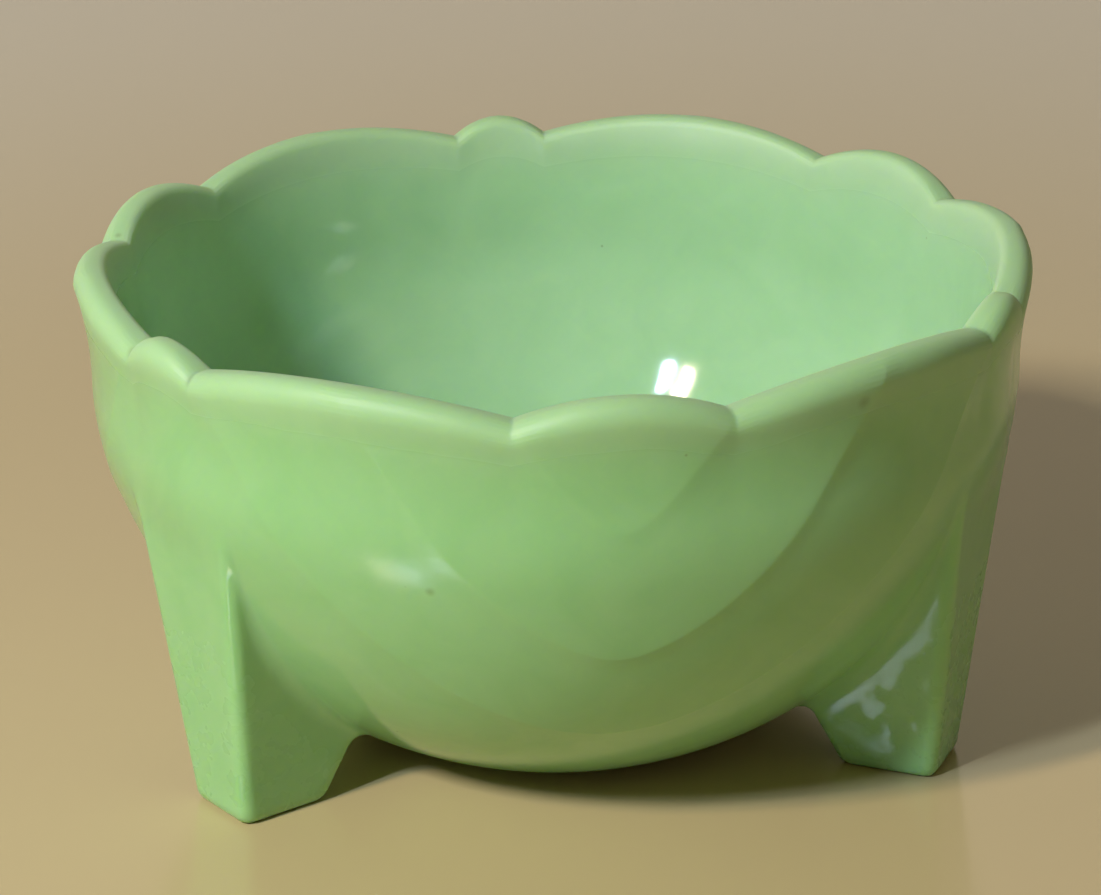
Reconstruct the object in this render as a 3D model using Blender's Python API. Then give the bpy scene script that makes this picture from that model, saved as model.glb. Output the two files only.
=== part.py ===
"""Three-footed bowl of pressed jade-green uranium glass.

The bowl is a turned shell: a flat underside, a round body, a nearly upright wall and a lobed rim.
Three tapered feet stand under it, 120 degrees apart, one at the rear and two at the front.
Everything is in metres, +Z up, with the origin on the bowl's axis where the feet stand.
Run with: blender --background --python part.py
"""
import math

import bmesh
import bpy
from mathutils import Vector

MM = 0.001

# --- Driving dimensions of the bowl -----------------------------------------------------------
WALL_RADIUS = 67.6 * MM          # outside radius of the upright wall
BALL_EXTRA = 1.4 * MM            # the round body is part of a ball this much larger than the wall
KNEE_RADIUS = 30.0 * MM          # the rounder bend between the body and the upright wall
BASE_HEIGHT = 2.2 * MM           # the flat underside, held clear of the table by the feet
BASE_RADIUS = 30.2 * MM
FLOOR_THICKNESS = 6.0 * MM       # glass between the underside and the floor inside
WALL_THICKNESS = 4.9 * MM
RIM_NOTCH_HEIGHT = 70.0 * MM     # height of the rim in the notches between its lobes
RIM_FLARE = 2.2 * MM             # how far the lip leans out past the upright wall
RIM_FLARE_LENGTH = 12.0 * MM     # how far below the notches the lip starts to lean out
RIM_EDGE_RADIUS = 1.5 * MM       # rounding of the rim's two edges

# --- Driving dimensions of the rim's lobes ----------------------------------------------------
FOOT_LOBE_HALF_ANGLE = math.radians(6.0)      # the narrow lobe above each foot
MIDDLE_LOBE_HALF_ANGLE = math.radians(12.0)   # the lobe halfway between two feet
FOOT_LOBE_RISE = 2.7 * MM
MIDDLE_LOBE_RISE = 3.3 * MM
WIDE_LOBE_RISE = 3.3 * MM
LOBE_ROOT_HEIGHT = 41.0 * MM     # below this the wall is plain and round
NOTCH_DEPTH = 1.0 * MM           # how far the wall is drawn in at a notch

# --- Driving dimensions of the feet -----------------------------------------------------------
FOOT_COUNT = 3
FOOT_SET_IN = 6.3 * MM           # from the upright wall's radius in to the sole's outer edge
FOOT_DEPTH = 14.3 * MM           # radial length of the sole
FOOT_WIDTH = 13.2 * MM           # width of the sole
FOOT_OUTER_DRAFT = math.radians(5.7)
FOOT_SIDE_DRAFT = math.radians(6.6)
FOOT_INNER_DRAFT = math.radians(29.0)
FOOT_TIP_THICKNESS = 0.9 * MM    # glass left at the top of a foot, where it meets the body
FOOT_EDGE_RADIUS = 2.0 * MM      # rounding of the four upright edges
SOLE_EDGE_RADIUS = 0.6 * MM

FIT_GAP = 0.3 * MM               # modelling gap between a foot and the body that it carries

# --- Fineness of the facets -------------------------------------------------------------------
TURN_STEPS = 120                 # facets round the bowl
BODY_STEPS = 8                   # rings on the round body, outside and inside
WALL_STEPS = 6                   # rings on the knee and the upright wall, outside and inside
RIM_STEPS = 2                    # rings on each rounded edge of the rim
FOOT_EDGE_STEPS = 3

GLASS_COLOUR = (0.28, 0.55, 0.24, 1.0)
GLASS_ROUGHNESS = 0.16

UP = Vector((0.0, 0.0, 1.0))
FOOT_NAMES = ("foot_rear", "foot_front_left", "foot_front_right")
REAR_AZIMUTH = math.radians(90.0)
FOOT_SPACING = math.radians(360.0) / FOOT_COUNT


# --- Where the ball, the knee and the upright wall meet ---------------------------------------
BALL_RADIUS = WALL_RADIUS + BALL_EXTRA
BALL_CENTRE_HEIGHT = BASE_HEIGHT + math.sqrt(BALL_RADIUS ** 2 - BASE_RADIUS ** 2)
KNEE_TURN = math.asin((WALL_RADIUS - KNEE_RADIUS) / (BALL_RADIUS - KNEE_RADIUS))
UPRIGHT_HEIGHT = BALL_CENTRE_HEIGHT - (BALL_RADIUS - KNEE_RADIUS) * math.cos(KNEE_TURN)


def body_radius(height, inset=0.0):
    """Radius of the surface that lies inset below the bowl's outside, at a height."""
    ball = BALL_RADIUS - inset
    knee = KNEE_RADIUS - inset
    flare_share = max(height - RIM_NOTCH_HEIGHT + RIM_FLARE_LENGTH, 0.0) / RIM_FLARE_LENGTH
    flare = RIM_FLARE * flare_share ** 2
    if height < BALL_CENTRE_HEIGHT - ball * math.cos(KNEE_TURN):
        return math.sqrt(ball ** 2 - (BALL_CENTRE_HEIGHT - height) ** 2) + flare
    if height < UPRIGHT_HEIGHT:
        return WALL_RADIUS - KNEE_RADIUS + math.sqrt(knee ** 2 - (UPRIGHT_HEIGHT - height) ** 2) + flare
    return WALL_RADIUS - inset + flare


def ball_heights(inset, low, steps):
    """Heights up the ball from a low one to the knee, at equal turns."""
    ball = BALL_RADIUS - inset
    start = math.acos((BALL_CENTRE_HEIGHT - low) / ball)
    turns = [start + (KNEE_TURN - start) * step / steps for step in range(steps + 1)]
    return [BALL_CENTRE_HEIGHT - ball * math.cos(turn) for turn in turns]


def side_points(inset, low):
    """Points of a half-section up the ball, the knee and the wall, stopping short of the rim."""
    heights = ball_heights(inset, low, BODY_STEPS)
    top = RIM_NOTCH_HEIGHT - RIM_EDGE_RADIUS
    climb = top - heights[-1]
    heights += [heights[-1] + climb * step / WALL_STEPS for step in range(1, WALL_STEPS)]
    return [(body_radius(height, inset), height) for height in heights]


def rim_points():
    """The rim's top from its outer edge to its inner edge, with both edges rounded."""
    outside = body_radius(RIM_NOTCH_HEIGHT)
    inside = outside - WALL_THICKNESS
    edge_height = RIM_NOTCH_HEIGHT - RIM_EDGE_RADIUS
    turns = [math.radians(90.0) * step / RIM_STEPS for step in range(RIM_STEPS + 1)]
    rise = [(math.cos(turn) * RIM_EDGE_RADIUS, math.sin(turn) * RIM_EDGE_RADIUS) for turn in turns]
    outer_edge = [(outside - RIM_EDGE_RADIUS + x, edge_height + z) for x, z in rise]
    inner_edge = [(inside + RIM_EDGE_RADIUS - x, edge_height + z) for x, z in reversed(rise)]
    return outer_edge + inner_edge


def bowl_section():
    """Half of the bowl's cross-section: underside, body, wall, rim, and back down to the floor."""
    floor_height = BASE_HEIGHT + FLOOR_THICKNESS
    outside = side_points(0.0, BASE_HEIGHT)
    inside = side_points(WALL_THICKNESS, floor_height)
    section = [(0.0, BASE_HEIGHT)] + outside + rim_points()
    return section + list(reversed(inside)) + [(0.0, floor_height)]


def turn_section(bm, section):
    """Spin a closed half-section once round Z into a solid, with its poles and its seam merged."""
    verts = [bm.verts.new((x, 0.0, z)) for x, z in section]
    edges = [bm.edges.new(pair) for pair in zip(verts, verts[1:])]
    bmesh.ops.spin(bm, geom=verts + edges, cent=(0.0, 0.0, 0.0), axis=UP,
                   angle=math.radians(360.0), steps=TURN_STEPS, use_merge=True)
    bmesh.ops.remove_doubles(bm, verts=bm.verts, dist=0.001 * MM)
    bmesh.ops.recalc_face_normals(bm, faces=bm.faces)


def lobe_at(azimuth):
    """The lobe that an azimuth falls in: its share of the full crest, 0 to 1, and its rise."""
    from_foot = abs((azimuth - REAR_AZIMUTH + FOOT_SPACING / 2) % FOOT_SPACING - FOOT_SPACING / 2)
    from_middle = FOOT_SPACING / 2 - from_foot
    if from_foot <= FOOT_LOBE_HALF_ANGLE:
        return 1.0 - (from_foot / FOOT_LOBE_HALF_ANGLE) ** 2, FOOT_LOBE_RISE
    if from_middle <= MIDDLE_LOBE_HALF_ANGLE:
        return 1.0 - (from_middle / MIDDLE_LOBE_HALF_ANGLE) ** 2, MIDDLE_LOBE_RISE
    half_width = (FOOT_SPACING / 2 - FOOT_LOBE_HALF_ANGLE - MIDDLE_LOBE_HALF_ANGLE) / 2
    off_centre = from_foot - FOOT_LOBE_HALF_ANGLE - half_width
    return 1.0 - (off_centre / half_width) ** 2, WIDE_LOBE_RISE


def lobe_rim(bm):
    """Raise the rim into lobes and draw the wall in at the notches, fading out down the wall."""
    span = RIM_NOTCH_HEIGHT - LOBE_ROOT_HEIGHT
    for vert in bm.verts:
        share = (vert.co.z - LOBE_ROOT_HEIGHT) / span
        if share <= 0.0:
            continue
        crest, rise = lobe_at(math.atan2(vert.co.y, vert.co.x))
        radius = math.hypot(vert.co.x, vert.co.y)
        drawn_in = (radius - NOTCH_DEPTH * (1.0 - crest) * share ** 2) / radius
        vert.co.x *= drawn_in
        vert.co.y *= drawn_in
        vert.co.z += rise * crest * share ** 2


def foot_face_radius(height):
    """Radius of a foot's outer face at a height."""
    return WALL_RADIUS - FOOT_SET_IN + height * math.tan(FOOT_OUTER_DRAFT)


def foot_top_height():
    """Height at which a foot has thinned to its tip against the body that widens above it."""
    height = BASE_HEIGHT
    step = 0.1 * MM
    while foot_face_radius(height) - body_radius(height, -FIT_GAP) > FOOT_TIP_THICKNESS:
        height += step
    return height


def foot_blank():
    """The plain tapered block that a foot is cut from, standing along +X."""
    top = foot_top_height()
    sole_inner = foot_face_radius(0.0) - FOOT_DEPTH
    top_inner = sole_inner - top * math.tan(FOOT_INNER_DRAFT)
    top_half_width = FOOT_WIDTH / 2 + top * math.tan(FOOT_SIDE_DRAFT)
    bm = bmesh.new()
    sole = [(sole_inner, -FOOT_WIDTH / 2), (sole_inner, FOOT_WIDTH / 2),
            (foot_face_radius(0.0), FOOT_WIDTH / 2), (foot_face_radius(0.0), -FOOT_WIDTH / 2)]
    face = bm.faces.new([bm.verts.new((x, y, 0.0)) for x, y in sole])
    raised = bmesh.ops.extrude_face_region(bm, geom=[face])["geom"]
    for vert in [item for item in raised if isinstance(item, bmesh.types.BMVert)]:
        is_inner = vert.co.x < foot_face_radius(0.0) - FOOT_DEPTH / 2
        vert.co.x = top_inner if is_inner else foot_face_radius(top)
        vert.co.y = math.copysign(top_half_width, vert.co.y)
        vert.co.z = top
    bmesh.ops.recalc_face_normals(bm, faces=bm.faces)
    upright = [edge for edge in bm.edges if abs(edge.verts[0].co.z - edge.verts[1].co.z) > top / 2]
    bmesh.ops.bevel(bm, geom=upright, offset=FOOT_EDGE_RADIUS, offset_type="OFFSET",
                    segments=FOOT_EDGE_STEPS, profile=0.5, affect="EDGES", material=-1)
    around_sole = [edge for edge in bm.edges if max(vert.co.z for vert in edge.verts) < SOLE_EDGE_RADIUS / 10]
    bmesh.ops.bevel(bm, geom=around_sole, offset=SOLE_EDGE_RADIUS, offset_type="OFFSET",
                    segments=1, profile=0.5, affect="EDGES", material=-1)
    return bm


def glass_material():
    """Opaque jade-green pressed glass."""
    material = bpy.data.materials.new("jade_glass")
    material.use_nodes = True
    shader = material.node_tree.nodes["Principled BSDF"]
    shader.inputs["Base Color"].default_value = GLASS_COLOUR
    shader.inputs["Roughness"].default_value = GLASS_ROUGHNESS
    shader.inputs["Metallic"].default_value = 0.0
    return material


def add_object(name, bm, material):
    """Finish a bmesh as a named object with its material, shaded smooth but for its sharp edges."""
    mesh = bpy.data.meshes.new(name)
    bm.to_mesh(mesh)
    bm.free()
    mesh.shade_smooth()
    mesh.set_sharp_from_angle(angle=math.radians(40.0))
    mesh.materials.append(material)
    obj = bpy.data.objects.new(name, mesh)
    bpy.context.scene.collection.objects.link(obj)
    return obj


def make_bowl(material):
    bm = bmesh.new()
    turn_section(bm, bowl_section())
    lobe_rim(bm)
    return add_object("bowl", bm, material)


def make_clearance(material):
    """The body's outer shape grown by the fitting gap, which cuts the tops of the feet."""
    low = BASE_HEIGHT - FIT_GAP
    heights = ball_heights(-FIT_GAP, low, 2 * BODY_STEPS) + [UPRIGHT_HEIGHT]
    section = [(0.0, low)] + [(body_radius(height, -FIT_GAP), height) for height in heights]
    section += [(0.0, UPRIGHT_HEIGHT)]
    bm = bmesh.new()
    turn_section(bm, section)
    cutter = add_object("body_clearance_cutter", bm, material)
    cutter.hide_render = True
    cutter.display_type = "WIRE"
    return cutter


def make_foot(name, azimuth, cutter, material):
    foot = add_object(name, foot_blank(), material)
    foot.rotation_euler.z = azimuth
    fit = foot.modifiers.new("fit_to_body", "BOOLEAN")
    fit.operation = "DIFFERENCE"
    fit.object = cutter
    return foot


def build():
    for obj in list(bpy.data.objects):
        bpy.data.objects.remove(obj, do_unlink=True)
    material = glass_material()
    make_bowl(material)
    cutter = make_clearance(material)
    for index, name in enumerate(FOOT_NAMES):
        make_foot(name, REAR_AZIMUTH + index * FOOT_SPACING, cutter, material)


build()
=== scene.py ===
# %% [markdown]
# # A three-footed bowl of pressed jade-green uranium glass
#
# The real bowl is one pressing. A gob of molten glass was dropped into an iron mould, and a round
# plunger pushed it up the mould's walls. The mould gave the outside its feet and petals, and the
# plunger gave the inside its smooth, plain curve. The rim was then softened in a flame.
#
# This lesson models the same story: a turned section for what the plunger and the mould's round
# body made, feet that grow out of it, petals raised on its wall, and one glass for all of it.

# %% Load the fixed frame and read its sizes
import math

import bmesh
import bpy
import numpy as np
from mathutils import Matrix, Vector, noise


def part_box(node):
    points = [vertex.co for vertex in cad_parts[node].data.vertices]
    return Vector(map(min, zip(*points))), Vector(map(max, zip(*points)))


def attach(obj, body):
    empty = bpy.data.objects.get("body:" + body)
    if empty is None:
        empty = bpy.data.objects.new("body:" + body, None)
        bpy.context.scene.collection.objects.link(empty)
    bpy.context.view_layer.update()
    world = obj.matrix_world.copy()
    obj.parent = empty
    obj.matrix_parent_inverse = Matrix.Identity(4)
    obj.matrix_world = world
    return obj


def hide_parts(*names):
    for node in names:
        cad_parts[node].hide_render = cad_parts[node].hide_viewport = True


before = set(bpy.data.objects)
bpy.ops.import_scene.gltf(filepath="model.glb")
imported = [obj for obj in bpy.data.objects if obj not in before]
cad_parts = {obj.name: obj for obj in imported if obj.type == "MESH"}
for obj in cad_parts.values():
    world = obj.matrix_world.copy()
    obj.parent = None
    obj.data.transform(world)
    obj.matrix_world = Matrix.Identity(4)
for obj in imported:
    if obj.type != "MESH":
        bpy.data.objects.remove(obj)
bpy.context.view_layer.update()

MM = 0.001
bowl_low, bowl_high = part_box("bowl")
print("frame nodes:", sorted(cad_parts))
print("frame bowl in mm:", [round(value / MM, 1) for value in (*bowl_low, *bowl_high)])

# %% [markdown]
# ## The camera
#
# The camera looks down on the bowl from a little to the left of the front, as a person does who
# stands at the table. Its turn is built from three plain turns: round Z, up from the horizon, and
# a small roll. A long lens keeps the rim's far side almost as wide as its near side. The camera
# comes first, so that everything after it can be judged through it.

# %% Place the camera
LENS = 123.14
SENSOR_WIDTH = 36.0
CAMERA_AZIMUTH = math.radians(-7.49)
CAMERA_ELEVATION = math.radians(21.18)
CAMERA_ROLL = math.radians(-0.58)
CAMERA_DISTANCE = 572.9 * MM
AIM_RIGHT = -1.2 * MM    # the aim point, measured across the view from the bowl's foot
AIM_UP = 38.1 * MM
NEAR_CLIP = 10.0 * MM
QUARTER = math.radians(90.0)

camera_data = bpy.data.cameras.new("camera")
camera_data.lens = LENS
camera_data.sensor_width = SENSOR_WIDTH
camera_data.sensor_fit = "HORIZONTAL"
camera_data.clip_start = NEAR_CLIP
camera = bpy.data.objects.new("camera", camera_data)
bpy.context.scene.collection.objects.link(camera)
turn = Matrix.Rotation(CAMERA_AZIMUTH, 4, "Z")
turn = turn @ Matrix.Rotation(QUARTER - CAMERA_ELEVATION, 4, "X")
turn = turn @ Matrix.Rotation(CAMERA_ROLL, 4, "Z")
place = turn @ Vector((AIM_RIGHT, AIM_UP, CAMERA_DISTANCE))
camera.matrix_world = Matrix.Translation(place) @ turn
bpy.context.scene.camera = camera
print("camera at", [round(value, 3) for value in place])

# %% [markdown]
# ## The section of the bowl
#
# A turned shape is drawn as half of its cross-section. This one is made of arcs, because a mould
# maker's lathe cuts arcs: a small one at the edge of the flat underside, the big ball of the body,
# the knee, the leaning lip, the round rim, and then the same arcs again, one wall thickness
# further in, down to the floor. Arcs that share a normal where they meet give a surface with no
# crease, which matters on glossy glass, where a reflection shows every kink.
#
# Angles are measured from straight down, so 0 is the underside, 90 the upright wall and 180 the
# top of the rim.

# %% Sizes of the section
RIM_FLARE = 2.2 * MM          # the crest of the rim stands this far outside the upright wall
CREST_RISE = 3.3 * MM         # and the crest is this much higher than the notches
WALL_RADIUS = bowl_high.y - RIM_FLARE
NOTCH_HEIGHT = bowl_high.z - CREST_RISE
BASE_HEIGHT = bowl_low.z
BALL_EXTRA = 1.4 * MM         # the ball of the body is this much larger than the upright wall
BALL_RADIUS = WALL_RADIUS + BALL_EXTRA
BASE_RADIUS = 30.2 * MM
KNEE_RADIUS = 30.0 * MM
WALL = 4.9 * MM
BASE_EDGE_RADIUS = 6.0 * MM
FLOOR_EDGE_RADIUS = 34.0 * MM
FLOOR_EDGE_TURN = math.radians(40.0)
RIM_OUTER_RADIUS = 2.3 * MM
RIM_INNER_RADIUS = 1.5 * MM
LIP_LEAN = math.radians(15.5)
LIP_TRAVEL = 1.6 * MM         # how far the lip has leant out where the rim's rounding starts

BALL_CENTRE = BASE_HEIGHT + math.sqrt(BALL_RADIUS ** 2 - BASE_RADIUS ** 2)
KNEE_TURN = math.asin((WALL_RADIUS - KNEE_RADIUS) / (BALL_RADIUS - KNEE_RADIUS))
KNEE_CENTRE_RADIUS = WALL_RADIUS - KNEE_RADIUS
KNEE_CENTRE = BALL_CENTRE - (BALL_RADIUS - KNEE_RADIUS) * math.cos(KNEE_TURN)
print("ball centre, knee height in mm:", round(BALL_CENTRE / MM, 1), round(KNEE_CENTRE / MM, 1))


# %% Draw the section
OUTSIDE_SPACING = 1.5 * MM
INSIDE_SPACING = 2.6 * MM
RIM_SPACING = 0.6 * MM


def arc(centre_radius, centre_height, radius, start, end, spacing):
    """Points (radius, height) along an arc, between two angles measured from straight down."""
    steps = max(round(abs(end - start) * radius / spacing), 2)
    turns = [start + (end - start) * step / steps for step in range(steps + 1)]
    return [(centre_radius + radius * math.sin(angle), centre_height - radius * math.cos(angle))
            for angle in turns]


def lip(start_radius, end, spacing):
    """Points up a lip that starts upright and leans out more and more, as a parabola, to its end."""
    length = 2 * (end[0] - start_radius) / math.tan(LIP_LEAN)
    steps = round(length / spacing)
    rise = [length * step / steps for step in range(steps)]
    return [(start_radius + height ** 2 * math.tan(LIP_LEAN) / (2 * length), end[1] - length + height)
            for height in rise]


def outer_side(rim_outer):
    """Underside, body, knee and lip, from the axis up to where the rim's rounding starts."""
    edge_height = BASE_HEIGHT + BASE_EDGE_RADIUS
    edge_turn = math.acos((BALL_CENTRE - edge_height) / (BALL_RADIUS - BASE_EDGE_RADIUS))
    edge_radius = (BALL_RADIUS - BASE_EDGE_RADIUS) * math.sin(edge_turn)
    points = [(0.0, BASE_HEIGHT), (edge_radius / 2, BASE_HEIGHT)]
    points += arc(edge_radius, edge_height, BASE_EDGE_RADIUS, 0.0, edge_turn, OUTSIDE_SPACING)
    points += arc(0.0, BALL_CENTRE, BALL_RADIUS, edge_turn, KNEE_TURN, OUTSIDE_SPACING)[1:]
    points += arc(KNEE_CENTRE_RADIUS, KNEE_CENTRE, KNEE_RADIUS, KNEE_TURN, QUARTER, OUTSIDE_SPACING)[1:]
    return points + lip(WALL_RADIUS, rim_outer, OUTSIDE_SPACING)


def rim_top():
    """The bullnose rim, from its outer side over the top to its inner side."""
    outer_centre = WALL_RADIUS + LIP_TRAVEL - RIM_OUTER_RADIUS * math.cos(LIP_LEAN)
    inner_centre = outer_centre + RIM_OUTER_RADIUS - WALL + RIM_INNER_RADIUS
    points = arc(outer_centre, NOTCH_HEIGHT - RIM_OUTER_RADIUS, RIM_OUTER_RADIUS,
                 QUARTER - LIP_LEAN, 2 * QUARTER, RIM_SPACING)
    return points + arc(inner_centre, NOTCH_HEIGHT - RIM_INNER_RADIUS, RIM_INNER_RADIUS,
                        2 * QUARTER, 3 * QUARTER - LIP_LEAN, RIM_SPACING)


def inner_side(rim_inner):
    """The plunger's side, from the rim down to the middle of the floor."""
    reach = BALL_RADIUS - WALL - FLOOR_EDGE_RADIUS
    centre = reach * math.sin(FLOOR_EDGE_TURN)
    centre_height = BALL_CENTRE - reach * math.cos(FLOOR_EDGE_TURN)
    points = list(reversed(lip(WALL_RADIUS - WALL, rim_inner, INSIDE_SPACING)))
    points += arc(KNEE_CENTRE_RADIUS, KNEE_CENTRE, KNEE_RADIUS - WALL, QUARTER, KNEE_TURN, INSIDE_SPACING)
    points += arc(0.0, BALL_CENTRE, BALL_RADIUS - WALL, KNEE_TURN, FLOOR_EDGE_TURN, INSIDE_SPACING)[1:]
    points += arc(centre, centre_height, FLOOR_EDGE_RADIUS, FLOOR_EDGE_TURN, 0.0, INSIDE_SPACING)[1:]
    return points + [(centre / 2, points[-1][1]), (0.0, points[-1][1])]


rim = rim_top()
section = outer_side(rim[0]) + rim + inner_side(rim[-1])
print("section points:", len(section), "floor height in mm:", round(section[-1][1] / MM, 1))

# %% [markdown]
# ## Turn the section
#
# Spin sweeps the section once round Z. The number of steps is chosen so that the petals' notches
# and the sides of the feet fall on whole steps: each step is 0.625 degrees. The two ends of the
# section lie on the axis, so all their copies fall on one point, and merging doubles closes both
# poles. Spin may leave the faces pointing inwards, so the normals are recalculated.

# %% Spin the bowl
TURN_STEPS = 288
FULL_TURN = math.radians(360.0)
UP = Vector((0.0, 0.0, 1.0))
ORIGIN = Vector((0.0, 0.0, 0.0))
MERGE = 0.002 * MM

bm = bmesh.new()
section_verts = [bm.verts.new((radius, 0.0, height)) for radius, height in section]
section_edges = [bm.edges.new(pair) for pair in zip(section_verts, section_verts[1:])]
bmesh.ops.spin(bm, geom=section_verts + section_edges, cent=ORIGIN, axis=UP,
               angle=FULL_TURN, steps=TURN_STEPS, use_merge=True)
bmesh.ops.remove_doubles(bm, verts=bm.verts, dist=MERGE)
bmesh.ops.recalc_face_normals(bm, faces=bm.faces)
print("turned bowl:", len(bm.verts), "points,", len(bm.faces), "faces")

# %% [markdown]
# ## Distances that describe the outside
#
# A foot has flat tapered sides, rounded edges and a soft fillet where it runs into the ball of
# the body. Fillets between a ball and a drafted block are hard to bevel by hand, so the outside is
# described by distances instead: how far a point lies outside the body, how far outside a foot,
# and both joined with a rounding. Points of the mesh are later pulled onto the place where the
# joined distance is zero.

# %% Distance to the body, to a foot and to both
FOOT_AXES = [math.radians(angle) for angle in (90.0, 210.0, 330.0)]
FOOT_SET_IN = 6.3 * MM       # from the upright wall in to the sole's outer edge
FOOT_DEPTH = 14.3 * MM       # from there to the sole's inner edge
SOLE_OUTER = WALL_RADIUS - FOOT_SET_IN
SOLE_INNER = SOLE_OUTER - FOOT_DEPTH
SOLE_HALF_WIDTH = 6.6 * MM
OUTER_DRAFT = math.radians(5.7)
SIDE_DRAFT = math.radians(6.6)
INNER_DRAFT = math.radians(29.0)
UPRIGHT_EDGE = 1.8 * MM      # rounding of a foot's upright edges
SOLE_EDGE = 1.1 * MM         # rounding round the sole
FILLET_LOW = 2.6 * MM        # fillet between a foot and the body, low down
FILLET_HIGH = 0.8 * MM       # and where the foot's face runs out into the wall
FILLET_FADE = (24.0 * MM, 42.0 * MM)    # heights between which one turns into the other


def smooth_step(value, start=0.0, end=1.0):
    """0 up to start, 1 from end, and an S-curve between."""
    share = np.clip((value - start) / (end - start), 0.0, 1.0)
    return share * share * (3.0 - 2.0 * share)


def body_distance(radius, height):
    """Distance outside the ball, the knee or the upright wall."""
    ball = np.hypot(radius, BALL_CENTRE - height) - BALL_RADIUS
    knee = np.hypot(radius - KNEE_CENTRE_RADIUS, KNEE_CENTRE - height) - KNEE_RADIUS
    past_ball = np.arctan2(radius, BALL_CENTRE - height) > KNEE_TURN
    distance = np.where(past_ball, knee, ball)
    return np.where(height > KNEE_CENTRE, radius - WALL_RADIUS, distance)


def rounded_corner(a, b, radius):
    """Keep what is inside both a and b, with a rounded outside corner."""
    outside = np.hypot(np.maximum(radius + a, 0.0), np.maximum(radius + b, 0.0))
    return np.minimum(-radius, np.maximum(a, b)) + outside


def filleted_join(a, b, radius):
    """Keep what is inside a or b, with a fillet in the inside corner."""
    inside = np.hypot(np.maximum(radius - a, 0.0), np.maximum(radius - b, 0.0))
    return np.maximum(radius, np.minimum(a, b)) - inside


def foot_distance(x, y, z):
    """Distance outside a foot that stands along +X."""
    outer = (x - SOLE_OUTER - z * math.tan(OUTER_DRAFT)) * math.cos(OUTER_DRAFT)
    inner = (SOLE_INNER - z * math.tan(INNER_DRAFT) - x) * math.cos(INNER_DRAFT)
    side = (np.abs(y) - SOLE_HALF_WIDTH - z * math.tan(SIDE_DRAFT)) * math.cos(SIDE_DRAFT)
    upright = rounded_corner(np.maximum(outer, inner), side, UPRIGHT_EDGE)
    return rounded_corner(upright, -z, SOLE_EDGE)


def outside_distance(points):
    """Distance outside the body and its foot, for points in the foot's own frame."""
    x, y, z = points.T
    fillet = FILLET_LOW + (FILLET_HIGH - FILLET_LOW) * smooth_step(z, *FILLET_FADE)
    return filleted_join(body_distance(np.hypot(x, y), z), foot_distance(x, y, z), fillet)


# %% [markdown]
# ## Grow the feet out of the body
#
# Each foot starts as a patch of the body: 20 degrees wide, from the foot's inner edge up to the
# knee. Extrude lifts the patch off and leaves side walls behind it, and every point of the patch
# is then sent along the outline of the foot: down the inner face, across the sole and up the outer
# face. Long edges are cut until the mesh is even. Then smoothing and pulling onto the zero
# distance take turns, as a sculptor relaxes and snaps a surface, until the flats are flat and the
# fillets round.

# %% Extrude and shape the feet
PATCH_HALF_ANGLE = math.radians(10.0)
PATCH_MARGIN = 5.8 * MM      # how far inside the sole's inner edge the patch starts
PATCH_LOW_TURN = math.asin((SOLE_INNER - PATCH_MARGIN) / BALL_RADIUS)
KNEE_HEIGHT = BALL_CENTRE - BALL_RADIUS * math.cos(KNEE_TURN)
SOLE_START = 0.20            # share of the patch that becomes the inner face
SOLE_END = 0.45              # and where the sole ends and the outer face starts
LONGEST_EDGE = 1.3 * MM
CUT_ROUNDS = 5
RELAX_ROUNDS = 30
RELAX_SHARE = 0.5            # how far one round of smoothing goes
PULL_ROUNDS = 3
PULL_STEP = 0.01 * MM        # the step over which the slope of the distance is measured
LEAST_SLOPE = 0.25           # keeps a point from jumping where the distance is nearly level
SKIRT = 5.0 * MM             # the body's points this near a foot take part in the fillet
SHELL = 1.0 * MM             # how deep a point still counts as outside glass


def foot_frame(points, axis):
    """Turn points so that the foot stands along +X."""
    turned = Matrix.Rotation(-axis, 3, "Z")
    return np.array(points).reshape(-1, 3) @ np.array(turned).T


def patch_share(height):
    """0 at the patch's lower edge, 1 at the knee."""
    turn = np.arccos(np.clip((BALL_CENTRE - height) / BALL_RADIUS, -1.0, 1.0))
    return (turn - PATCH_LOW_TURN) / (KNEE_TURN - PATCH_LOW_TURN)


def in_patch(points):
    """Which points, in the foot's frame, lie on the patch of the body that becomes the foot."""
    x, y, z = points.T
    outside = body_distance(np.hypot(x, y), z) > -SHELL
    share = patch_share(z)
    return (x > 0) & outside & (np.abs(np.arctan2(y, x)) < PATCH_HALF_ANGLE) & (share > 0) & (share < 1)


def foot_outline(points):
    """Where the points of the patch go on the foot, in the foot's frame."""
    share = patch_share(points[:, 2])
    low = (BALL_RADIUS * math.sin(PATCH_LOW_TURN), BALL_CENTRE - BALL_RADIUS * math.cos(PATCH_LOW_TURN))
    shares = (0.0, SOLE_START, SOLE_END, 1.0)
    top = SOLE_OUTER + KNEE_HEIGHT * math.tan(OUTER_DRAFT)
    x = np.interp(share, shares, (low[0], SOLE_INNER, SOLE_OUTER, top))
    z = np.interp(share, shares, (low[1], 0.0, 0.0, KNEE_HEIGHT))
    ball = np.sqrt(BALL_RADIUS ** 2 - (BALL_CENTRE - z) ** 2)
    x = np.where(share > SOLE_END, np.maximum(x, ball), x)
    across = np.arctan2(points[:, 1], points[:, 0]) / PATCH_HALF_ANGLE
    return np.stack([x, across * (SOLE_HALF_WIDTH + z * math.tan(SIDE_DRAFT)), z], axis=1)


def pulled_to_surface(points):
    """Points moved along the slope of the distance until it is zero."""
    for _ in range(PULL_ROUNDS):
        distance = outside_distance(points)
        slope = np.stack([(outside_distance(points + PULL_STEP * side) - distance) / PULL_STEP
                          for side in np.eye(3)], axis=1)
        length = np.maximum((slope ** 2).sum(1), LEAST_SLOPE)
        points = points - slope * (distance / length)[:, None]
    return points


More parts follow.
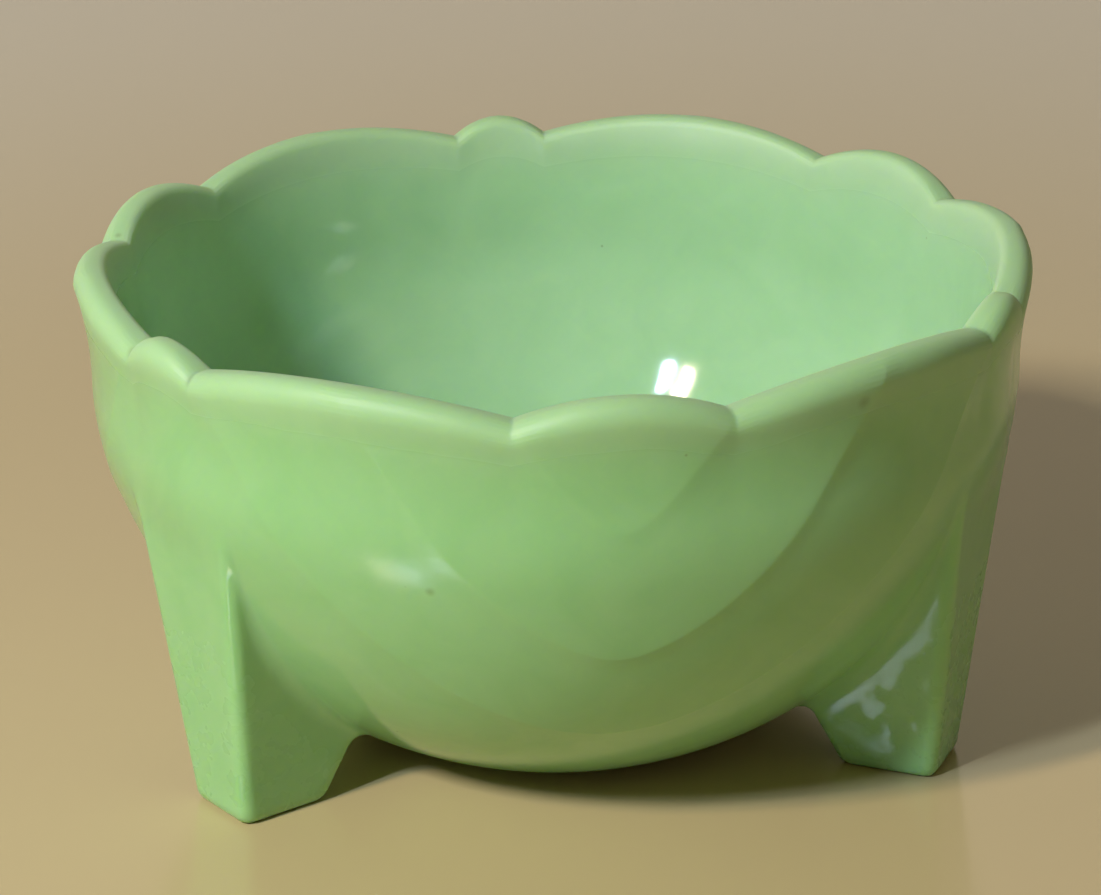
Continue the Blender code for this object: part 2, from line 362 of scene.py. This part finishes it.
def near_foot(verts, axis):
    """Which points belong to the foot or to the part of the body that its fillet reaches."""
    points = foot_frame([vert.co for vert in verts], axis)
    x, y, z = points.T
    outside = body_distance(np.hypot(x, y), z) > -SHELL
    return (x > 0) & (z < KNEE_HEIGHT) & outside & (foot_distance(x, y, z) < SKIRT)


def grow_foot(axis):
    """Extrude the patch off the body and lay it round the foot."""
    centres = foot_frame([face.calc_center_median() for face in bm.faces], axis)
    patch = [face for face, chosen in zip(list(bm.faces), in_patch(centres)) if chosen]
    top = max(vert.co.z for face in patch for vert in face.verts) - MERGE
    bottom = min(vert.co.z for face in patch for vert in face.verts) + MERGE
    patch_edges = list({edge for face in patch for edge in face.edges})
    grown = bmesh.ops.extrude_face_region(bm, geom=patch + patch_edges)["geom"]
    caps = [item for item in grown if isinstance(item, bmesh.types.BMVert) and bottom < item.co.z < top]
    laid = foot_frame(foot_outline(foot_frame([vert.co for vert in caps], axis)), -axis)
    for vert, point in zip(caps, laid):
        vert.co = point
    bmesh.ops.remove_doubles(bm, verts=bm.verts, dist=MERGE)


def relax_foot(axis):
    """Cut long edges, then smooth and pull in turns."""
    for _ in range(CUT_ROUNDS):
        near = {vert for vert, chosen in zip(list(bm.verts), near_foot(bm.verts, axis)) if chosen}
        long_edges = [edge for edge in bm.edges if edge.verts[0] in near and edge.verts[1] in near
                      and edge.calc_length() > LONGEST_EDGE]
        bmesh.ops.subdivide_edges(bm, edges=long_edges, cuts=1, use_grid_fill=True)
    shaped = [vert for vert, chosen in zip(list(bm.verts), near_foot(bm.verts, axis)) if chosen]
    for _ in range(RELAX_ROUNDS):
        bmesh.ops.smooth_vert(bm, verts=shaped, factor=RELAX_SHARE,
                              use_axis_x=True, use_axis_y=True, use_axis_z=True)
        points = foot_frame([vert.co for vert in shaped], axis)
        for vert, point in zip(shaped, foot_frame(pulled_to_surface(points), -axis)):
            vert.co = point
    return len(shaped)


for axis in FOOT_AXES:
    grow_foot(axis)
    print("foot at", round(math.degrees(axis)), "degrees:", relax_foot(axis), "points")
print("open or branching edges:", sum(not edge.is_manifold for edge in bm.edges))

# %% [markdown]
# ## The petals' edges
#
# Three nested petal edges hang between each pair of feet like garlands. Each is a power curve:
# it starts at the lowest point on the middle line and climbs to the rim. The smallest and the
# largest end in notches of the rim, and the middle one fades out under the crest of a wide lobe.
# Inside an edge the petal's lip swells outwards, and outside it the glass drops back in a short
# hollow slope, so the edge itself is a low crease. It shows only as a change of tone, and it cuts
# off a highlight that lies across it. The mesh is cut finer along the edges only.

# %% Cut the mesh finer along the petals' edges
FIRST_MIDDLE = math.radians(30.0)
SECTOR = math.radians(60.0)
FOOT_LOBE = math.radians(6.25)
MIDDLE_LOBE = math.radians(12.5)
# low, high: heights on the middle line and at the rim; reach: angle between the two
PETALS = [
    {"low": 54.1 * MM, "high": 70.0 * MM, "reach": math.radians(12.5), "power": 1.65, "relief": 0.17 * MM},
    {"low": 34.4 * MM, "high": 71.5 * MM, "reach": math.radians(33.0), "power": 1.65, "relief": 0.26 * MM},
    {"low": 18.7 * MM, "high": 70.2 * MM, "reach": math.radians(53.75), "power": 1.95, "relief": 0.20 * MM},
]
PETAL_BOTTOM = 15.0 * MM     # below this the outside is plain
PETAL_FADE = 2.0 * MM        # over this height the relief fades out
LEAST_SHARE = 0.0001         # keeps a power of the angle from being worked out at zero
FINE_BAND = 2.4 * MM         # this near an edge the mesh is cut finer
FINE_NOTCH = math.radians(2.2)    # and this near a notch
FINE_ROUNDS = 2


def middle_offset(points):
    """Angle from the nearest line halfway between two feet."""
    azimuth = np.arctan2(points[:, 1], points[:, 0])
    return np.abs((azimuth - FIRST_MIDDLE + SECTOR) % (2 * SECTOR) - SECTOR)


def inside_petal(points, petal):
    """Distance inside a petal's edge along the surface, negative outside it."""
    share = np.maximum(middle_offset(points) / petal["reach"], LEAST_SHARE)
    climb = petal["high"] - petal["low"]
    radius = np.hypot(points[:, 0], points[:, 1])
    steepness = climb * petal["power"] * share ** (petal["power"] - 1.0)
    slope = steepness / (petal["reach"] * np.maximum(radius, MM))
    return (points[:, 2] - petal["low"] - climb * share ** petal["power"]) / np.hypot(1.0, slope)


def needs_detail(points):
    """Which points lie near a petal's edge or a notch of the rim."""
    radius = np.hypot(points[:, 0], points[:, 1])
    outside = (body_distance(radius, points[:, 2]) > -SHELL) & (points[:, 2] > PETAL_BOTTOM)
    near_edge = np.zeros(len(points), dtype=bool)
    for petal in PETALS:
        near_edge |= np.abs(inside_petal(points, petal)) < FINE_BAND
    offset = middle_offset(points)
    notch = np.minimum(np.abs(offset - MIDDLE_LOBE), np.abs(offset - SECTOR + FOOT_LOBE))
    near_notch = (notch < FINE_NOTCH) & (points[:, 2] > NOTCH_HEIGHT - 2 * RIM_OUTER_RADIUS)
    return (outside & near_edge) | near_notch


for _ in range(FINE_ROUNDS):
    chosen = needs_detail(np.array([face.calc_center_median() for face in bm.faces]))
    fine_edges = {edge for face, picked in zip(list(bm.faces), chosen) if picked for edge in face.edges}
    bmesh.ops.subdivide_edges(bm, edges=list(fine_edges), cuts=1, use_grid_fill=True)
print("after cutting along the petals:", len(bm.verts), "points,", len(bm.faces), "faces")

# %% [markdown]
# ## Raise the lobes and the petals
#
# The rim has a narrow lobe over each foot, a broader one on each middle line and a wide one on
# each side between them. All are parabolas that meet in sharp notches. The wall is drawn in a
# little at the notches, so that the rim is lobed from above as well. Every move fades out down
# the wall or through its thickness, so that nothing folds.

# %% Move the points
LOBE_ROOT = 41.0 * MM
NOTCH_DEPTH = 1.0 * MM
NARROW_RISE = 2.7 * MM
LIP_REACH = 9.0 * MM         # how far inside an edge the petal starts to swell
DROP_WIDTH = 3.6 * MM        # how wide the slope outside the edge is
PLUNGER_REACH = 9.0 * MM     # inside, the plunger's plain circle reaches up to this far below the rim


def lobe_crest(offset):
    """Share of the full crest, 0 in a notch and 1 on a crest, and how high the crest is."""
    half_width = (SECTOR - FOOT_LOBE - MIDDLE_LOBE) / 2
    middle = 1.0 - (offset / MIDDLE_LOBE) ** 2
    narrow = 1.0 - ((SECTOR - offset) / FOOT_LOBE) ** 2
    wide = 1.0 - ((offset - MIDDLE_LOBE - half_width) / half_width) ** 2
    over_foot = offset > SECTOR - FOOT_LOBE
    crest = np.where(offset < MIDDLE_LOBE, middle, np.where(over_foot, narrow, wide))
    return crest, np.where(over_foot, NARROW_RISE, CREST_RISE)


def petal_relief(points):
    """How far the petals' lips stand out at points of the plain outside."""
    total = np.zeros(len(points))
    for petal in PETALS:
        inside = inside_petal(points, petal)
        swell = np.clip(1.0 - inside / LIP_REACH, 0.0, 1.0) ** 2
        drop = np.clip(1.0 + inside / DROP_WIDTH, 0.0, 1.0) ** 2
        total += petal["relief"] * np.where(inside > 0.0, swell, drop)
    return total


def outward(points):
    """The direction straight out of the plain outside."""
    radius = np.maximum(np.hypot(points[:, 0], points[:, 1]), MM)
    turn = np.minimum(np.arctan2(radius, BALL_CENTRE - points[:, 2]), QUARTER)
    sine = np.sin(turn) / radius
    return np.stack([points[:, 0] * sine, points[:, 1] * sine, -np.cos(turn)], axis=1)


points = np.array([vert.co for vert in bm.verts])
radius = np.hypot(points[:, 0], points[:, 1])
depth = -body_distance(radius, points[:, 2])
outer_share = 1.0 - smooth_step(depth, 0.0, WALL / 2)
outer_share *= smooth_step(points[:, 2], PETAL_BOTTOM - PETAL_FADE, PETAL_BOTTOM)
moved = points + outward(points) * (petal_relief(points) * outer_share)[:, None]
share = np.clip((points[:, 2] - LOBE_ROOT) / (NOTCH_HEIGHT - LOBE_ROOT), 0.0, None) ** 2
crest, rise = lobe_crest(middle_offset(points))
plunger_side = smooth_step(depth, WALL / 2, WALL)
near_rim = smooth_step(points[:, 2], NOTCH_HEIGHT - PLUNGER_REACH, NOTCH_HEIGHT)
drawn_in = NOTCH_DEPTH * (1.0 - crest) * share * (1.0 - plunger_side * (1.0 - near_rim))
moved[:, :2] *= (1.0 - drawn_in / np.maximum(radius, MM))[:, None]
moved[:, 2] += rise * crest * share
for vert, point in zip(bm.verts, moved):
    vert.co = point
print("highest point in mm:", round(moved[:, 2].max() / MM, 2), "lowest:", round(moved[:, 2].min() / MM, 3))

# %% [markdown]
# ## Make the piece
#
# The finished mesh goes into one object at the origin. Three shares are stored on its points for
# the material: how much of the plunger's side, of the rim (rubbed, and painted with a pale sheen)
# and of a foot a point is. They
# follow the surface, so they are right wherever the piece goes. This one piece stands for the bowl
# and its three feet, because they are one pressing.

# %% Make the glass piece
dish_mesh = bpy.data.meshes.new("pressed_glass_bowl")
bm.to_mesh(dish_mesh)
bm.free()
dish_mesh.shade_smooth()
RIM_WEAR_AND_SHEEN_REACH = 9.0 * MM    # how far down from the rim the glass is flamed and rubbed, and its colour painted with a pale sheen
FOOT_SIDE_START = 2.5 * MM   # how far off the body a foot's own skin starts
FOOT_SIDE_FULL = 6.0 * MM
shares = {"plunger_side": smooth_step(depth, WALL / 4, WALL * 3 / 4),
          "rim_side": smooth_step(points[:, 2], NOTCH_HEIGHT - RIM_WEAR_AND_SHEEN_REACH, NOTCH_HEIGHT),
          "foot_side": smooth_step(-depth, FOOT_SIDE_START, FOOT_SIDE_FULL)}
for name, values in shares.items():
    attribute = dish_mesh.attributes.new(name, "FLOAT", "POINT")
    attribute.data.foreach_set("value", values.astype(np.float32))
dish = bpy.data.objects.new("pressed_glass_bowl", dish_mesh)
bpy.context.scene.collection.objects.link(dish)
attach(dish, "root")
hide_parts("bowl", "foot_rear", "foot_front_left", "foot_front_right")
triangles = sum(len(face.vertices) - 2 for face in dish_mesh.polygons)
print("glass piece:", triangles, "triangles")

# %% [markdown]
# ## The glass
#
# This is opaque jade glass: soda-lime glass with a little uranium for the yellow-green, made
# cloudy by fluoride crystals. Light goes a millimetre or two into it before it comes back out, so
# edges between light and shade glow yellow-green, because blue light is lost first. That is what
# subsurface scattering is for. The surface is clear glass, so it has the gloss and the index of
# refraction of plain glass, and no colour of its own.
#
# Nothing pressed is quite even. The melt is swirled in two tones, a few dark specks are stuck in
# it, the mould's iron leaves the skin faintly rippled, and the soles are ground dull by tables. The
# plunger leaves a smoother inside, and the inside is painted a shade paler and cooler: painted
# light, for the light that fills the bowl. The rim was melted soft in a flame and has been rubbed
# since, so it is less sharp in its gloss, and its colour is painted paler as a painted sheen. The
# notches beside the narrow lobes are painted darker as painted shade. The feet filled last, with
# glass that had already chilled on the iron, so their skin is uneven and mirrors a light in patches.

# %% Helpers for colours and nodes


def linear(hex_code):
    """A linear colour from an sRGB hex code."""
    values = [int(hex_code[place:place + 2], 16) / 255 for place in (0, 2, 4)]
    mixed = [value / 12.92 if value <= 0.04045 else ((value + 0.055) / 1.055) ** 2.4 for value in values]
    return (*mixed, 1.0)


def add_node(tree, kind, settings=None, inputs=None):
    """Add a node, set its own settings, and set or link its inputs by name or place."""
    node = tree.nodes.new(kind)
    for name, value in (settings or {}).items():
        setattr(node, name, value)
    for name, value in (inputs or {}).items():
        if isinstance(value, bpy.types.NodeSocket):
            tree.links.new(value, node.inputs[name])
        else:
            node.inputs[name].default_value = value
    return node


def new_material(name):
    """An empty node material and its node tree."""
    material = bpy.data.materials.new(name)
    material.use_nodes = True
    material.node_tree.nodes.clear()
    return material, material.node_tree


# %% [markdown]
# ### Patterns at their real size
#
# A noise or Voronoi texture on Object coordinates has one feature every 1/scale metres, so each
# scale is one divided by a size that was measured in millimetres. The swirls are about 14 mm
# across, the ripples of the mould skin 5 mm, and some cells of a 4 mm grid hold a tiny speck.
# Two larger stains, a dark mark in a notch of the rim at the left, and painted shade in the notches
# beside the narrow lobes are placed one by one, by their distance from a point.

# %% List the stains, a dark mark and the painted shade in the notches
# two stains and a dark mark in a notch of the rim at the left; the painted shade in the notches is added
# below
STAINS_AND_PAINTED_SHADE = [((33.0 * MM, -60.9 * MM, 68.4 * MM), 1.5 * MM),
          ((-25.1 * MM, -61.4 * MM, 45.5 * MM), 1.0 * MM),
          ((-62.5 * MM, 20.9 * MM, 70.5 * MM), 0.8 * MM)]
NOTCH_SHADE_RADIUS = 1.2 * MM    # painted shade in the notches on both sides of a narrow lobe, where the crease lies in shade
# painted shade: a darker spot in the notch on each side of a narrow lobe
for axis in FOOT_AXES:
    for side in (-1, 1):
        turned = Matrix.Rotation(axis + side * FOOT_LOBE, 3, "Z")
        notch = turned @ Vector((WALL_RADIUS, 0.0, NOTCH_HEIGHT - MM))
        STAINS_AND_PAINTED_SHADE.append((tuple(notch), NOTCH_SHADE_RADIUS))
print("stains and dirt:", len(STAINS_AND_PAINTED_SHADE))

# %% Two tones of the melt outside, and paler tones inside as painted light
SWIRL_SIZE = 14.0 * MM
OUTSIDE_TONES = ("8DC480", "9FCE90")
# painted light: the inside tones are paler and cooler than the outside ones
INSIDE_PAINTED_LIT_TONES = ("9FCA99", "AFD6A9")

glass, tree = new_material("pressed_opaque_jade_glass")
place = add_node(tree, "ShaderNodeTexCoord").outputs["Object"]
swirl = add_node(tree, "ShaderNodeTexNoise", inputs={
    "Vector": place, "Scale": 1 / SWIRL_SIZE, "Detail": 3.0, "Roughness": 0.5, "Distortion": 1.2})
tone = add_node(tree, "ShaderNodeMix", {"data_type": "RGBA"}, {
    0: swirl.outputs["Fac"], 6: linear(OUTSIDE_TONES[0]), 7: linear(OUTSIDE_TONES[1])})
plunger_side = add_node(tree, "ShaderNodeAttribute", {"attribute_name": "plunger_side"})
inner_painted_lit_tone = add_node(tree, "ShaderNodeMix", {"data_type": "RGBA"}, {
    0: swirl.outputs["Fac"], 6: linear(INSIDE_PAINTED_LIT_TONES[0]), 7: linear(INSIDE_PAINTED_LIT_TONES[1])})
tone_with_painted_lit_inside = add_node(tree, "ShaderNodeMix", {"data_type": "RGBA"}, {
    0: plunger_side.outputs["Fac"], 6: tone.outputs[2], 7: inner_painted_lit_tone.outputs[2]})

# %% Specks, stains, painted shade in the notches and painted sheen on the rim
SPECK_SPACING = 4.0 * MM
SPECK_RADIUS = 0.32 * MM
SPECK_SHARE = 0.95           # cells whose random number is above this hold a speck
SPECK_STRENGTH = 0.5
STAIN_AND_SHADE_STRENGTH = 0.34
# the colour of the specks and stains, and of the painted shade in the notches
FLAW_AND_SHADE_COLOUR = "5F6A30"
PALE_SHEEN_COLOUR = "C6CBB2"
RIM_SHEEN = 0.24              # how far the rim's colour goes towards a paler tone, a painted sheen

cells = add_node(tree, "ShaderNodeTexVoronoi", inputs={"Vector": place, "Scale": 1 / SPECK_SPACING})
cell_random = add_node(tree, "ShaderNodeSeparateColor", inputs={"Color": cells.outputs["Color"]})
has_speck = add_node(tree, "ShaderNodeMath", {"operation": "GREATER_THAN"}, {
    0: cell_random.outputs["Red"], 1: SPECK_SHARE})
speck = add_node(tree, "ShaderNodeMapRange", {"interpolation_type": "SMOOTHSTEP"}, {
    "Value": cells.outputs["Distance"], "From Min": 0.0, "From Max": SPECK_RADIUS / SPECK_SPACING,
    "To Min": SPECK_STRENGTH, "To Max": 0.0})
flaws_and_shade = add_node(tree, "ShaderNodeMath", {"operation": "MULTIPLY"}, {
    0: has_speck.outputs["Value"], 1: speck.outputs["Result"]})
# the stains, the dark mark and the painted shade in the notches, each darkening by its distance from a
# point
for centre, radius in STAINS_AND_PAINTED_SHADE:
    distance = add_node(tree, "ShaderNodeVectorMath", {"operation": "DISTANCE"}, {0: place, 1: centre})
    stain_and_shade = add_node(tree, "ShaderNodeMapRange", {"interpolation_type": "SMOOTHSTEP"}, {
        "Value": distance.outputs["Value"], "From Min": 0.0, "From Max": radius,
        "To Min": STAIN_AND_SHADE_STRENGTH, "To Max": 0.0})
    flaws_and_shade = add_node(tree, "ShaderNodeMath", {"operation": "MAXIMUM"}, {
        0: flaws_and_shade.outputs["Value"], 1: stain_and_shade.outputs["Result"]})
# painted sheen: the rim's colour is mixed towards a paler tone
rim_side = add_node(tree, "ShaderNodeAttribute", {"attribute_name": "rim_side"})
rim_sheen = add_node(tree, "ShaderNodeMath", {"operation": "MULTIPLY"}, {
    0: rim_side.outputs["Fac"], 1: RIM_SHEEN})
sheened_tone = add_node(tree, "ShaderNodeMix", {"data_type": "RGBA"}, {
    0: rim_sheen.outputs["Value"], 6: tone_with_painted_lit_inside.outputs[2], 7: linear(PALE_SHEEN_COLOUR)})
colour = add_node(tree, "ShaderNodeMix", {"data_type": "RGBA"}, {
    0: flaws_and_shade.outputs["Value"], 6: sheened_tone.outputs[2], 7: linear(FLAW_AND_SHADE_COLOUR)})

# %% [markdown]
# ### How sharp the gloss is
#
# Roughness decides how sharply a surface mirrors. Fire-polished glass is close to 0.05, and glass
# that touched iron is nearer to 0.15, with slow changes over a centimetre or two. Each region's
# roughness is mixed over the last one's by its share, and the worn soles come last.

# %% Roughness of each region
RIPPLE_SIZE = 5.0 * MM
CHILL_SIZE = 3.4 * MM        # the unevenness that the cold iron leaves on the feet
SOLE_WEAR_HEIGHT = 0.5 * MM
MOULD_ROUGHNESS = (0.11, 0.17)
PLUNGER_ROUGHNESS = 0.07
RIM_ROUGHNESS = 0.55
FOOT_ROUGHNESS = (0.38, 0.19)
SOLE_ROUGHNESS = 0.5

height = add_node(tree, "ShaderNodeSeparateXYZ", inputs={"Vector": place})
sole_wear = add_node(tree, "ShaderNodeMapRange", inputs={
    "Value": height.outputs["Z"], "From Min": 0.0, "From Max": SOLE_WEAR_HEIGHT,
    "To Min": SOLE_ROUGHNESS, "To Max": 0.0})
skin = add_node(tree, "ShaderNodeTexNoise", inputs={
    "Vector": place, "Scale": 1 / (3 * RIPPLE_SIZE), "Detail": 2.0})
mould_gloss = add_node(tree, "ShaderNodeMapRange", inputs={
    "Value": skin.outputs["Fac"], "From Min": 0.3, "From Max": 0.7,
    "To Min": MOULD_ROUGHNESS[0], "To Max": MOULD_ROUGHNESS[1]})
side_gloss = add_node(tree, "ShaderNodeMix", {"data_type": "FLOAT"}, {
    0: plunger_side.outputs["Fac"], 2: mould_gloss.outputs["Result"], 3: PLUNGER_ROUGHNESS})
rim_gloss = add_node(tree, "ShaderNodeMix", {"data_type": "FLOAT"}, {
    0: rim_side.outputs["Fac"], 2: side_gloss.outputs[0], 3: RIM_ROUGHNESS})
chill = add_node(tree, "ShaderNodeTexNoise", inputs={
    "Vector": place, "Scale": 1 / CHILL_SIZE, "Detail": 2.0, "Roughness": 0.5})
foot_side = add_node(tree, "ShaderNodeAttribute", {"attribute_name": "foot_side"})
chill_gloss = add_node(tree, "ShaderNodeMapRange", {"interpolation_type": "SMOOTHSTEP"}, {
    "Value": chill.outputs["Fac"], "From Min": 0.32, "From Max": 0.68,
    "To Min": FOOT_ROUGHNESS[0], "To Max": FOOT_ROUGHNESS[1]})
foot_gloss = add_node(tree, "ShaderNodeMix", {"data_type": "FLOAT"}, {
    0: foot_side.outputs["Fac"], 2: rim_gloss.outputs[0], 3: chill_gloss.outputs["Result"]})
roughness = add_node(tree, "ShaderNodeMath", {"operation": "MAXIMUM"}, {
    0: foot_gloss.outputs[0], 1: sole_wear.outputs["Result"]})

# %% [markdown]
# ### Ripples, and the shader itself
#
# The ripples are a twentieth of a millimetre high, too low to model and just enough to make a
# mirrored light wobble, so they are bump. The scattering radius says how far red, green and blue
# light travel in the glass: green furthest and blue hardly at all.

# %% Bump and shader
RIPPLE_HEIGHT = 0.05 * MM
CHILL_HEIGHT = 0.016 * MM
GLASS_IOR = 1.51
SCATTER_RADIUS = (1.5, 1.8, 0.35)
SCATTER_SCALE = 1.4 * MM

ripple = add_node(tree, "ShaderNodeTexNoise", inputs={
    "Vector": place, "Scale": 1 / RIPPLE_SIZE, "Detail": 1.0, "Roughness": 0.4})
bump = add_node(tree, "ShaderNodeBump", inputs={
    "Strength": 1.0, "Distance": RIPPLE_HEIGHT, "Height": ripple.outputs["Fac"]})
chill_bump = add_node(tree, "ShaderNodeBump", inputs={
    "Strength": foot_side.outputs["Fac"], "Distance": CHILL_HEIGHT, "Height": chill.outputs["Fac"],
    "Normal": bump.outputs["Normal"]})
shader = add_node(tree, "ShaderNodeBsdfPrincipled", inputs={
    "Base Color": colour.outputs[2],
    "Roughness": roughness.outputs["Value"],
    "Normal": chill_bump.outputs["Normal"],
    "IOR": GLASS_IOR,
    "Subsurface Weight": 1.0,
    "Subsurface Radius": SCATTER_RADIUS,
    "Subsurface Scale": SCATTER_SCALE,
})
add_node(tree, "ShaderNodeOutputMaterial", inputs={"Surface": shader.outputs["BSDF"]})
dish_mesh.materials.append(glass)
print("glass nodes:", len(tree.nodes))

# %% [markdown]
# ## Floor and backdrop
#
# A plain floor, a little glossy like a varnished board, so that it mirrors the lights onto the
# bowl's belly. It is tan under the bowl, which warms the shade there, and pales away from it. A
# round pale wall stands well away on all sides, and a quarter-round cove joins the two without a
# line. Both are one spun profile.

# %% Spin the floor and the wall
STAGE_RADIUS = 1.7           # in metres, like all sizes of the stage and the lights
COVE_RADIUS = 0.5
WALL_TOP = 1.3
COVE_STEPS = 12
STAGE_STEPS = 96
PALE_START = 0.14            # the board is tan under the bowl and pales from here
PALE_END = 0.55
BOARD_ROUGHNESS = 0.16
BOARD_IOR = 1.75             # a thick hard varnish
BOARD_TONE = "C6B183"
PALE_TONE = "E4DAC6"

cove = [QUARTER * step / COVE_STEPS for step in range(COVE_STEPS + 1)]
profile = [(0.0, 0.0)]
profile += [(STAGE_RADIUS - COVE_RADIUS + COVE_RADIUS * math.sin(angle),
             COVE_RADIUS - COVE_RADIUS * math.cos(angle)) for angle in cove]
profile += [(STAGE_RADIUS, WALL_TOP)]
stage_bm = bmesh.new()
profile_verts = [stage_bm.verts.new((radius, 0.0, z)) for radius, z in profile]
profile_edges = [stage_bm.edges.new(pair) for pair in zip(profile_verts, profile_verts[1:])]
bmesh.ops.spin(stage_bm, geom=profile_verts + profile_edges, cent=ORIGIN, axis=UP,
               angle=FULL_TURN, steps=STAGE_STEPS, use_merge=True)
bmesh.ops.remove_doubles(stage_bm, verts=stage_bm.verts, dist=MERGE)
stage_mesh = bpy.data.meshes.new("floor_and_backdrop")
stage_bm.to_mesh(stage_mesh)
stage_bm.free()
stage_mesh.shade_smooth()
print("floor and backdrop:", len(stage_mesh.polygons), "faces")

# %% Varnish the floor
stage = bpy.data.objects.new("floor_and_backdrop", stage_mesh)
bpy.context.scene.collection.objects.link(stage)
paint, tree = new_material("varnished_pale_board")
place = add_node(tree, "ShaderNodeTexCoord").outputs["Object"]
from_bowl = add_node(tree, "ShaderNodeVectorMath", {"operation": "LENGTH"}, {0: place})
paleness = add_node(tree, "ShaderNodeMapRange", {"interpolation_type": "SMOOTHSTEP"}, {
    "Value": from_bowl.outputs["Value"], "From Min": PALE_START, "From Max": PALE_END})
board_tone = add_node(tree, "ShaderNodeMix", {"data_type": "RGBA"}, {
    0: paleness.outputs["Result"], 6: linear(BOARD_TONE), 7: linear(PALE_TONE)})
shader = add_node(tree, "ShaderNodeBsdfPrincipled", inputs={
    "Base Color": board_tone.outputs[2], "Roughness": BOARD_ROUGHNESS, "IOR": BOARD_IOR})
add_node(tree, "ShaderNodeOutputMaterial", inputs={"Surface": shader.outputs["BSDF"]})
stage_mesh.materials.append(paint)

# %% [markdown]
# ## Light
#
# Two soft lights stand side by side at the left front, one as cool as a window and one as warm as
# a lamp. Their mirror images lie beside each other inside the bowl and, by way of the floor, on
# its belly. A wide dim panel behind the bowl stands for a pale wall: glass mirrors far more at a
# glancing angle, so the panel shows as a pale sheen along the rim and on the far floor. The room
# adds a very little warm light from all sides, so that the shade stays deep. The Standard view
# keeps the colours as they were chosen.

# %% Place the lights
LIGHT_DISTANCE = 1.2
LIGHT_SIZE = (0.052, 0.16)
LIGHT_ELEVATION = math.radians(39.5)
LIGHT_POWER = 8.9
WINDOW_AZIMUTH = math.radians(222.5)
LAMP_AZIMUTH = math.radians(215.5)
WINDOW_COLOUR = "CFE2FF"
LAMP_COLOUR = "FFEDD4"
PANEL_AZIMUTH = math.radians(86.0)
PANEL_ELEVATION = math.radians(30.0)
PANEL_SIZE = (3.0, 1.0)
PANEL_POWER = 2.8
PANEL_COLOUR = "F0E8DC"
ROOM_COLOUR = "DFE2A0"
ROOM_STRENGTH = 0.07


def add_soft_light(name, azimuth, elevation, size, power, hex_code):
    """An upright rectangle of light that faces the bowl."""
    data = bpy.data.lights.new(name, "AREA")
    data.shape = "RECTANGLE"
    data.size, data.size_y = size
    data.energy = power
    data.color = linear(hex_code)[:3]
    light = bpy.data.objects.new(name, data)
    light.visible_camera = False
    bpy.context.scene.collection.objects.link(light)
    level = LIGHT_DISTANCE * math.cos(elevation)
    light.location = (level * math.cos(azimuth), level * math.sin(azimuth),
                      LIGHT_DISTANCE * math.sin(elevation))
    light.rotation_euler = light.location.to_track_quat("Z", "Y").to_euler()


add_soft_light("cool_window", WINDOW_AZIMUTH, LIGHT_ELEVATION, LIGHT_SIZE, LIGHT_POWER, WINDOW_COLOUR)
add_soft_light("warm_lamp", LAMP_AZIMUTH, LIGHT_ELEVATION, LIGHT_SIZE, LIGHT_POWER, LAMP_COLOUR)
add_soft_light("pale_wall", PANEL_AZIMUTH, PANEL_ELEVATION, PANEL_SIZE, PANEL_POWER, PANEL_COLOUR)

room = bpy.data.worlds.new("warm_room")
room.use_nodes = True
background = room.node_tree.nodes["Background"]
background.inputs["Color"].default_value = linear(ROOM_COLOUR)
background.inputs["Strength"].default_value = ROOM_STRENGTH
bpy.context.scene.world = room
bpy.context.scene.view_settings.view_transform = "Standard"
print("lights:", [lamp.name for lamp in bpy.data.lights])
